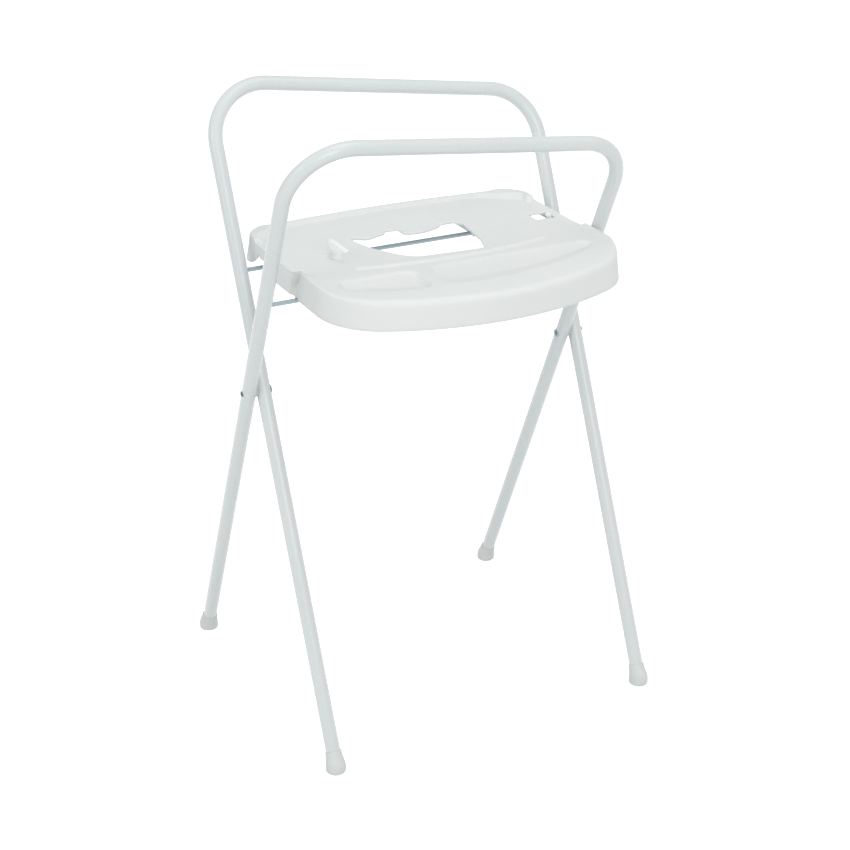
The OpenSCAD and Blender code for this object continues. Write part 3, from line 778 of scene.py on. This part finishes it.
def latch_ear(side):
    """One of the two ears that hold the latch's pin."""
    y = LATCH_Y + side * (TONGUE_HALF + EAR_PLAY + EAR_HALF)
    top = PLATE - WALL / 2
    profile = [(LATCH_X + BARREL_R * math.cos(a), LATCH_Z + BARREL_R * math.sin(a))
               for a in np.linspace(-math.pi, 0, 13)]
    profile += [(LATCH_X + BARREL_R, top), (LATCH_X - BARREL_R, top)]
    ear = Shape()
    a = ear.row([(x, y - EAR_HALF, z) for x, z in profile])
    b = ear.row([(x, y + EAR_HALF, z) for x, z in profile])
    ear.band(a, b, flip=True)
    ear.cap(a, flip=True)
    ear.cap(b)
    return ear


def tray():
    shape = tray_shell()
    for x in RIBS:
        # Ribs end inside the rear wall, the outer ones a little sooner beside its corners.
        rear = math.sqrt(REAR_R ** 2 - x * x) + REAR_C - WALL + 0.6
        if abs(x) == RIBS[-1]:
            rear -= 1
        shape.add(extruded(rib_profile(rear), x - RIB_HALF, x + RIB_HALF))
        # The bearings at the third rib are shorter, so that they don't show in the opening.
        near = -2 if x == RIBS[2] else BEARING_HALF
        for y0, (inner, mouth) in ((-ROD_Y, SNAP), (ROD_Y, SADDLE)):
            shape.add(extruded(bearing_profile(y0, inner, mouth), x - near, x + BEARING_HALF))
    for side in (-1, 1):
        shape.add(latch_ear(side))
    verts = [(x + TRAY_X, y + PIVOT_Y, z + ROD_Z) for x, y, z in shape.verts]
    obj = piece("tray_moulding", verts, shape.faces, PLASTIC, "tray_body", ["tray"])
    sharp_by_angle(obj, 48)


# ---------------------------------------------------------------- hook
def bath_hook():
    """The upright blade with its forward nose, rounded along its edges."""
    x, y, z = HOOK_X + TRAY_X, HOOK_Y + PIVOT_Y, PLATE + ROD_Z
    profile = softened([(0.0, -2, 0.3), (0.0, 27, 1.6), (-62, 27, 1.4), (-61, 23.4, 1.0),
                        (-48, 18, 3), (-39, 10, 4), (-36, 2.6, 3), (-36, -2, 0.3)], turn=14)
    inner = normals_of(profile)
    way = 1 if twice_area(profile) > 0 else -1
    shape = Shape()
    rows = []
    # Across the blade's thickness, and how far each row lies inside the profile.
    for dx, inset in ((0, 0.9), (0.35, 0.25), (1.0, 0), (6.8, 0), (7.45, 0.25), (7.8, 0.9)):
        rows.append(shape.row([(x + dx, y + p[0] + way * n[0] * inset, z + p[1] + way * n[1] * inset)
                               for p, n in zip(profile, inner)]))
    for a, b in zip(rows, rows[1:]):
        shape.band(a, b)
    shape.cap(rows[0])
    shape.cap(rows[-1], flip=True)
    obj = piece("bath_hook_blade", shape.verts, shape.faces, HOOK, "tray_body",
                ["bath_hook"])
    sharp_by_angle(obj, 40)


# ---------------------------------------------------------------- feet
# Height, radius, and how far the ring is turned from level to the leg's lean.
BOOT_RINGS = ((0.0, 14.4, 0), (0.3, 15.3, 0), (0.9, 15.9, 0), (2.0, 16.2, 0), (4.5, 16.4, 0),
              (10, 16.3, 0.06), (14, 15.9, 0.2), (17, 15.2, 0.45), (20, 14.4, 0.75),
              (23, 13.8, 0.93), (27, 13.5, 1), (30.0, 13.4, 1), (31.2, 13.0, 1), (31.8, 12.4, 1),
              (31.5, 11.9, 1), (29, 11.7, 1))
BOOT_STEPS = 44


def foot(name, side, end, body, node):
    """A moulded boot: a leaning sleeve that runs smoothly into an upright pad."""
    cx = side * CROSS_X + end * FRAME_W / 2
    base_y = PIVOT_Y - side * FOOT_Y
    lean = -side * math.tan(TILT)
    shape = Shape()
    rows = []
    for z, r, turn in BOOT_RINGS:
        centre_y = base_y
        if z >= 6:  # above the pad, the rings move over to the leg's line
            centre_y = base_y + (PIVOT_Y - side * FLOOR_Y - lean * z - base_y) * ease((z - 4) / 19)
        angle = -side * TILT * turn
        ring = []
        for k in range(BOOT_STEPS):
            a = 2 * math.pi * k / BOOT_STEPS
            px, py = r * math.cos(a), r * math.sin(a)
            ring.append((cx + px, float(centre_y) + py * math.cos(angle),
                         z + py * math.sin(angle)))
        rows.append(shape.row(ring))
    for a, b in zip(rows, rows[1:]):
        shape.band(a, b)
    shape.cap(rows[0], flip=True)
    obj = piece(name, shape.verts, shape.faces, RUBBER, body, [node])
    sharp_by_angle(obj, 60)


# ---------------------------------------------------------------- rods and rivets
def rod(name, side, body, node):
    """A straight rod with chamfered ends."""
    half = FRAME_W / 2 + ROD_REACH
    r, cut = ROD_R, 0.5
    profile = [(0, -half), (r - cut, -half), (r, -half + cut), (r, -half * 0.5), (r, 0),
               (r, half * 0.5), (r, half - cut), (r - cut, half), (0, half)]
    shape = lathe(profile, 28)
    matrix = (Matrix.Translation((side * CROSS_X, PIVOT_Y + side * ROD_Y, ROD_Z))
              @ Matrix.Rotation(math.pi / 2, 4, "Y"))
    obj = piece(name, moved(shape, matrix), shape.faces, ZINC, body, [node])
    sharp_by_angle(obj, 40)


def rivet(name, end, node):
    """A rivet with a domed head outside and a flatter one inside."""
    outer = CROSS_X + RIVET_SEAT
    turns = [math.pi / 2 * k / 8 for k in range(1, 9)]
    profile = [(0, -outer - 1.6)]
    profile += [(RIVET_INNER * math.sin(a), -outer - 1 - 0.6 * math.cos(a) ** 1.2) for a in turns]
    profile += [(RIVET_SHANK, -outer - 1), (RIVET_SHANK, outer), (RIVET_HEAD - 0.2, outer),
                (RIVET_HEAD, outer + 0.25)]
    profile += [(RIVET_HEAD * math.cos(a), outer + 0.25 + 2.75 * math.sin(a)) for a in turns]
    profile[-1] = (0, outer + 3)
    shape = lathe(profile, 32)
    matrix = (Matrix.Translation((end * FRAME_W / 2, PIVOT_Y, PIVOT_H))
              @ Matrix.Rotation(end * math.pi / 2, 4, "Y"))
    obj = piece(name, moved(shape, matrix), shape.faces, STEEL, "front_handle_body",
                [node])
    sharp_by_angle(obj, 40)


# ---------------------------------------------------------------- build
tube_frame("rear_handle_tube", 1, "rear_handle_body", "rear_handle_frame")
tube_frame("front_handle_tube", -1, "front_handle_body", "front_handle_frame")
tray()
bath_hook()
foot("boot_front_left", 1, -1, "rear_handle_body", "foot_front_left")
foot("boot_front_right", 1, 1, "rear_handle_body", "foot_front_right")
foot("boot_rear_left", -1, -1, "front_handle_body", "foot_rear_left")
foot("boot_rear_right", -1, 1, "front_handle_body", "foot_rear_right")
rod("rear_cross_rod", 1, "rear_handle_body", "rear_rod")
rod("front_cross_rod", -1, "front_handle_body", "front_rod")
rivet("pivot_rivet_left", -1, "rivet_left")
rivet("pivot_rivet_right", 1, "rivet_right")
for node, mat in (("washer_left", ZINC), ("washer_right", ZINC), ("spacer_left", NYLON),
                  ("spacer_right", NYLON), ("bath_latch", HOOK), ("latch_pin", ZINC)):
    dress(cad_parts[node], mat)


# ---------------------------------------------------------------- stage and light
FLOOR_HALF, FLOOR_Z = 9, -0.0004
STAGE_GLOW, STUDIO = 0.55, 0.755


def either(nodes, links, *rays):
    """1 for any of the named kinds of ray, and 0 for the rest."""
    path = nodes.new("ShaderNodeLightPath")
    both = nodes.new("ShaderNodeMath")
    both.operation = "MAXIMUM"
    for i, ray in enumerate(rays):
        links.new(path.outputs[ray], both.inputs[i])
    return both.outputs[0]


def stage_material():
    """White to the camera and in gloss, an ordinary pale floor to the light."""
    mat = bpy.data.materials.new("stage_white")
    mat.use_nodes = True
    nodes, links = mat.node_tree.nodes, mat.node_tree.links
    bsdf = nodes["Principled BSDF"]
    bsdf.inputs["Roughness"].default_value = 0.9
    bsdf.inputs["Specular IOR Level"].default_value = 0.1
    seen = either(nodes, links, "Is Camera Ray", "Is Glossy Ray")
    tint = ramp(nodes, [(0.0, (0.72, 0.73, 0.74)), (1.0, (0.97, 0.97, 0.97))])
    links.new(seen, tint.inputs["Fac"])
    links.new(tint.outputs["Color"], bsdf.inputs["Base Color"])
    glow = nodes.new("ShaderNodeMath")
    glow.operation = "MULTIPLY"
    glow.inputs[1].default_value = STAGE_GLOW
    links.new(seen, glow.inputs[0])
    bsdf.inputs["Emission Color"].default_value = (1, 1, 1, 1)
    links.new(glow.outputs[0], bsdf.inputs["Emission Strength"])
    return mat


def background(nodes, colour, strength):
    node = nodes.new("ShaderNodeBackground")
    node.inputs["Color"].default_value = colour
    node.inputs["Strength"].default_value = strength
    return node.outputs[0]


def studio_world():
    """Soft light from all round, and plain white where the camera sees it."""
    world = bpy.data.worlds.new("studio")
    world.use_nodes = True
    nodes, links = world.node_tree.nodes, world.node_tree.links
    nodes.clear()
    mix = nodes.new("ShaderNodeMixShader")
    out = nodes.new("ShaderNodeOutputWorld")
    links.new(either(nodes, links, "Is Camera Ray", "Is Transmission Ray"), mix.inputs[0])
    links.new(background(nodes, (0.96, 0.99, 1.0, 1), STUDIO), mix.inputs[1])
    links.new(background(nodes, (1, 1, 1, 1), 1.0), mix.inputs[2])
    links.new(mix.outputs[0], out.inputs["Surface"])
    return world


floor_mesh = bpy.data.meshes.new("floor")
floor_mesh.from_pydata([(x * FLOOR_HALF, y * FLOOR_HALF, FLOOR_Z)
                        for x, y in ((-1, -1), (1, -1), (1, 1), (-1, 1))], [], [(0, 1, 2, 3)])
floor = bpy.data.objects.new("floor", floor_mesh)
scene.collection.objects.link(floor)
floor.data.materials.append(stage_material())
scene.world = studio_world()


def lamp(name, at, size, power, colour=(1, 1, 1)):
    """A soft rectangular lamp that faces the object's middle."""
    data = bpy.data.lights.new(name, "AREA")
    data.shape = "RECTANGLE"
    data.size, data.size_y = size
    data.energy = power
    data.color = colour
    obj = bpy.data.objects.new(name, data)
    obj.location = at
    obj.rotation_euler = (Vector((0, 0, 0.6)) - Vector(at)).to_track_quat("-Z", "Y").to_euler()
    scene.collection.objects.link(obj)


lamp("key", (-0.6, -3.2, 2.1), (1.5, 1.5), 21, (1, 0.985, 0.96))
lamp("side", (-2.8, -0.6, 1.8), (0.8, 1.8), 8)
lamp("top", (0.3, -0.5, 3.2), (1.6, 1.6), 9.5, (0.97, 0.99, 1))

# ---------------------------------------------------------------- camera
# Fitted to the photograph: angles, distance in metres, and the lens in pixels of its width.
AZ, EL, ROLL = math.radians(-26.887), math.radians(24.976), math.radians(0.138)
DISTANCE, LENS_PX, IMAGE_PX, SENSOR = 3.056369, 1815.351, 850, 36
target = Vector((0.012578, PIVOT_Y * MM, 0.446527))
back = Vector((math.sin(AZ) * math.cos(EL), -math.cos(AZ) * math.cos(EL), math.sin(EL)))
level = (-back).cross(Vector((0, 0, 1))).normalized()
upright = level.cross(-back)
right = level * math.cos(ROLL) + upright * math.sin(ROLL)
up = upright * math.cos(ROLL) - level * math.sin(ROLL)
camera_data = bpy.data.cameras.new("camera")
camera_data.sensor_fit = "HORIZONTAL"
camera_data.sensor_width = SENSOR
camera_data.lens = LENS_PX / IMAGE_PX * SENSOR
camera_data.clip_end = 60
camera = bpy.data.objects.new("camera", camera_data)
turn = Matrix((right, up, back)).transposed().to_4x4()
camera.matrix_world = Matrix.Translation(target + back * DISTANCE) @ turn
scene.collection.objects.link(camera)
scene.camera = camera
